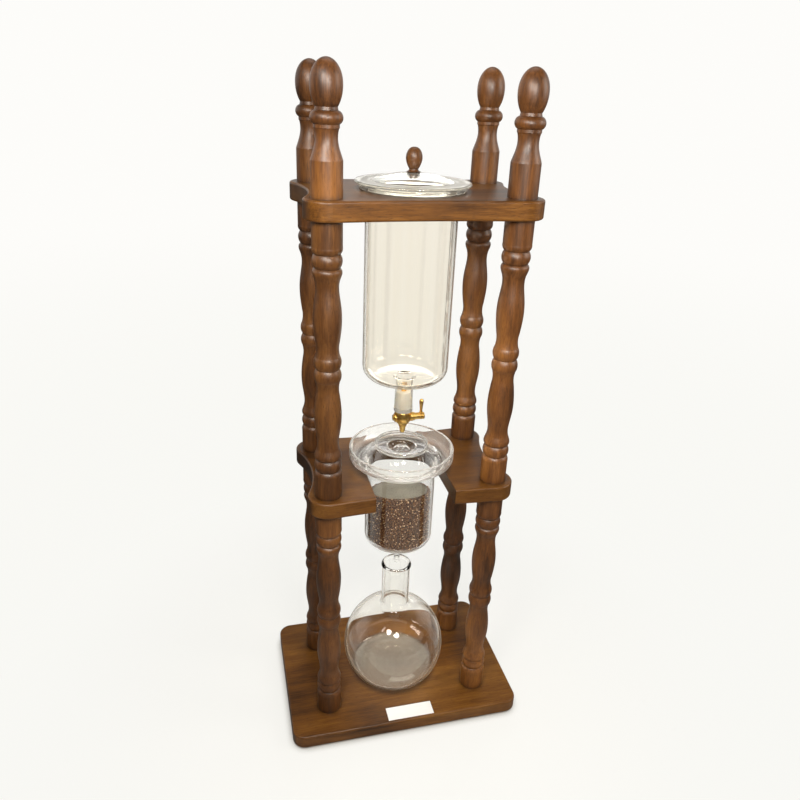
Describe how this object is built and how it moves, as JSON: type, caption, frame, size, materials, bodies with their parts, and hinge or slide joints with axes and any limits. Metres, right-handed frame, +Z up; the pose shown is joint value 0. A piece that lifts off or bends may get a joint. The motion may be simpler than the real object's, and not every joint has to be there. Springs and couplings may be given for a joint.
{
  "type": "cold drip coffee tower",
  "caption": "Cold drip coffee tower: a turned wooden stand carries a lidded glass water tank with a brass drip tap, a glass coffee chamber with a water spreader, and a round glass flask.",
  "frame": {"origin": "middle of the base, on the surface the tower stands on", "axes": "+Z up through flask, coffee chamber and tank; -Y to the front, where the slot of the middle plate opens; +X to the side of the tap's lever"},
  "size_m": [0.304, 0.208, 0.801],
  "materials": {
    "plate_wood": "stained walnut board under satin lacquer",
    "turned_wood": "turned hardwood, walnut stain, satin lacquer",
    "steel": "zinc plated",
    "foot_rubber": "matt",
    "glass": "clear blown borosilicate",
    "lid_glass": "clear pressed glass",
    "silicone": "milky translucent silicone",
    "seal_silicone": "dark silicone",
    "brass": "polished",
    "paper": "wet filter paper",
    "coffee": "coarse ground coffee",
    "ceramic": "fired porous ceramic"
  },
  "bodies": {
    "frame": {"base_plate": "plate_wood", "mid_plate": "plate_wood", "top_plate": "plate_wood", "lower_spindle_fl": "turned_wood", "lower_spindle_fr": "turned_wood", "lower_spindle_bl": "turned_wood", "lower_spindle_br": "turned_wood", "upper_spindle_fl": "turned_wood", "upper_spindle_fr": "turned_wood", "upper_spindle_bl": "turned_wood", "upper_spindle_br": "turned_wood", "finial_fl": "turned_wood", "finial_fr": "turned_wood", "finial_bl": "turned_wood", "finial_br": "turned_wood", "mid_studs": "steel", "top_studs": "steel", "base_screws": "steel", "base_washers": "steel", "base_feet": "foot_rubber"},
    "tank": {"tank_glass": "glass", "outlet_bung": "silicone", "tap_body": "brass"},
    "tap_handle": {"tap_plug": "brass", "tap_lever": "brass", "plug_nut": "brass", "plug_washer": "brass"},
    "lid": {"tank_lid": "lid_glass", "lid_knob": "turned_wood", "knob_screw": "steel", "knob_washers": "seal_silicone"},
    "chamber": {"coffee_chamber": "glass", "filter_paper": "paper", "coffee_grounds": "coffee", "lower_filter": "ceramic"},
    "spreader": {"water_spreader": "glass"},
    "flask": {"flask": "glass"}
  },
  "joints": [
    {"name": "tank_lift", "type": "slide", "parent": "frame", "child": "tank", "axis": [0, 0, 1], "range_m": [0, 0.3]},
    {"name": "tap_turn", "type": "hinge", "parent": "tank", "child": "tap_handle", "pos_m": [0, 0, 0.4125], "axis": [1, 0, 0], "range_deg": [-90, 90]},
    {"name": "lid_lift", "type": "slide", "parent": "tank", "child": "lid", "axis": [0, 0, 1], "range_m": [0, 0.06]},
    {"name": "chamber_out", "type": "slide", "parent": "frame", "child": "chamber", "axis": [0, -1, 0], "range_m": [0, 0.135]},
    {"name": "spreader_lift", "type": "slide", "parent": "chamber", "child": "spreader", "axis": [0, 0, 1], "range_m": [0, 0.012]},
    {"name": "flask_out", "type": "slide", "parent": "frame", "child": "flask", "axis": [0, -1, 0], "range_m": [0, 0.16]}
  ]
}
